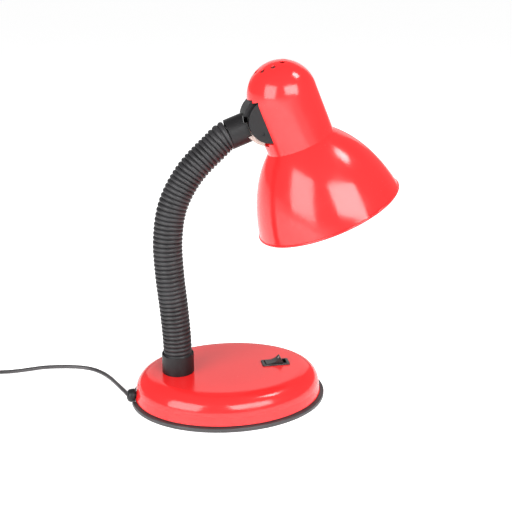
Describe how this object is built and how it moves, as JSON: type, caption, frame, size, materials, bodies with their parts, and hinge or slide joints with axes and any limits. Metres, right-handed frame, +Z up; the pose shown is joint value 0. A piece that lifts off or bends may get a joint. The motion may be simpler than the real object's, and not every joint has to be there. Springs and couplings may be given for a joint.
{
  "type": "desk lamp",
  "caption": "Table lamp: oval weighted base with rocker switch, ribbed flexible neck, and a vented bell shade that tilts on a side swivel over a screw lampholder.",
  "frame": {"origin": "on the table surface, at the middle of the oval base", "axes": "+Z up; +X along the base from the neck to the switch; the neck bends in the XZ plane"},
  "size_m": [0.4739, 0.1785, 0.3414],
  "materials": {
    "red_cover": "glossy red moulded cover",
    "red_shade": "glossy red stove enamel",
    "black_plastic": "satin black moulding",
    "base_rim": "satin black moulding",
    "bellows": "ribbed black sleeve",
    "switch_black": "semi-gloss black",
    "mark_white": "white inlay",
    "steel": "zinc plated",
    "iron": "cast, painted grey",
    "brass": "turned brass",
    "nylon": "natural grey-beige nylon",
    "holder_black": "moulded thermoset",
    "pad": "closed-cell foam pad",
    "cord_grey": "soft PVC, dark grey",
    "cord_tie": "black band",
    "plug_black": "moulded black",
    "lead_brown": "insulated wire",
    "lead_blue": "insulated wire"
  },
  "bodies": {
    "base": {"base_cover": "red_cover", "bottom_plate": "base_rim", "base_pad": "pad", "ballast_weight": "iron", "plate_screws": "steel", "switch_housing": "switch_black", "switch_terminals": "brass", "neck_collar": "black_plastic", "neck_nipple": "steel", "neck_nut": "steel", "neck_washer": "steel", "neck_ferrule": "steel", "neck_cover_0": "bellows", "neck_conduit_0": "steel", "cord_gland": "black_plastic", "cord_clamp": "black_plastic", "clamp_screws": "steel", "inner_cord": "cord_grey", "feed_lead": "lead_brown", "neutral_lead": "lead_blue", "return_lead": "lead_brown", "power_cord": "cord_grey", "cord_coil": "cord_grey", "cord_tie": "cord_tie", "cord_tail": "cord_grey", "plug_body": "plug_black", "plug_pins": "brass"},
    "rocker": {"switch_rocker": "switch_black", "rocker_mark": "mark_white"},
    "neck_1": {"neck_cover_1": "bellows", "neck_conduit_1": "steel"},
    "neck_2": {"neck_cover_2": "bellows", "neck_conduit_2": "steel"},
    "neck_3": {"neck_cover_3": "bellows", "neck_conduit_3": "steel"},
    "neck_4": {"neck_cover_4": "bellows", "neck_conduit_4": "steel"},
    "neck_5": {"neck_cover_5": "bellows", "neck_conduit_5": "steel"},
    "neck_6": {"neck_cover_6": "bellows", "neck_conduit_6": "steel"},
    "neck_top": {"neck_cover_7": "bellows", "neck_conduit_7": "steel", "upper_sleeve": "black_plastic", "arm_ferrule": "steel", "swivel_tongue": "nylon", "tongue_screws": "steel"},
    "shade": {"shade_shell": "red_shade", "tilt_bracket": "black_plastic", "pivot_screw": "steel", "pivot_nut": "steel", "friction_washers": "steel", "holder_strap": "steel", "strap_screws": "steel", "holder_nipple": "steel", "holder_nut": "steel", "holder_cap": "holder_black", "holder_body": "holder_black", "thread_shell": "brass", "centre_contact": "brass"}
  },
  "joints": [
    {"name": "switch_press", "type": "hinge", "parent": "base", "child": "rocker", "pos_m": [0.0495, 0, 0.0285], "axis": [0, 1, 0], "range_deg": [0, 40]},
    {"name": "neck_bend_1", "type": "hinge", "parent": "base", "child": "neck_1", "pos_m": [-0.0517, 0, 0.0679], "axis": [0, 1, 0], "range_deg": [-12, 8]},
    {"name": "neck_bend_2", "type": "hinge", "parent": "neck_1", "child": "neck_2", "pos_m": [-0.054, 0, 0.1026], "axis": [0.9971, 0, 0.0761], "range_deg": [-13, 13]},
    {"name": "neck_bend_3", "type": "hinge", "parent": "neck_2", "child": "neck_3", "pos_m": [-0.057, 0, 0.1373], "axis": [0, 1, 0], "range_deg": [-12, 8]},
    {"name": "neck_bend_4", "type": "hinge", "parent": "neck_3", "child": "neck_4", "pos_m": [-0.0577, 0, 0.1721], "axis": [0.9969, 0, -0.0784], "range_deg": [-13, 13]},
    {"name": "neck_bend_5", "type": "hinge", "parent": "neck_4", "child": "neck_5", "pos_m": [-0.0516, 0, 0.2062], "axis": [0, 1, 0], "range_deg": [-12, 8]},
    {"name": "neck_bend_6", "type": "hinge", "parent": "neck_5", "child": "neck_6", "pos_m": [-0.0349, 0, 0.2365], "axis": [0.8048, 0, -0.5935], "range_deg": [-13, 13]},
    {"name": "neck_bend_7", "type": "hinge", "parent": "neck_6", "child": "neck_top", "pos_m": [-0.0108, 0, 0.2615], "axis": [0, 1, 0], "range_deg": [-12, 8]},
    {"name": "shade_tilt", "type": "hinge", "parent": "neck_top", "child": "shade", "pos_m": [0.03988, 0, 0.28684], "axis": [0, 1, 0], "range_deg": [-23, 28]}
  ],
  "couplings": [
    {"joint": "neck_bend_3", "follows": "neck_bend_1", "ratio": 1},
    {"joint": "neck_bend_5", "follows": "neck_bend_1", "ratio": 1},
    {"joint": "neck_bend_7", "follows": "neck_bend_1", "ratio": 1},
    {"joint": "neck_bend_4", "follows": "neck_bend_2", "ratio": 1},
    {"joint": "neck_bend_6", "follows": "neck_bend_2", "ratio": 1}
  ]
}
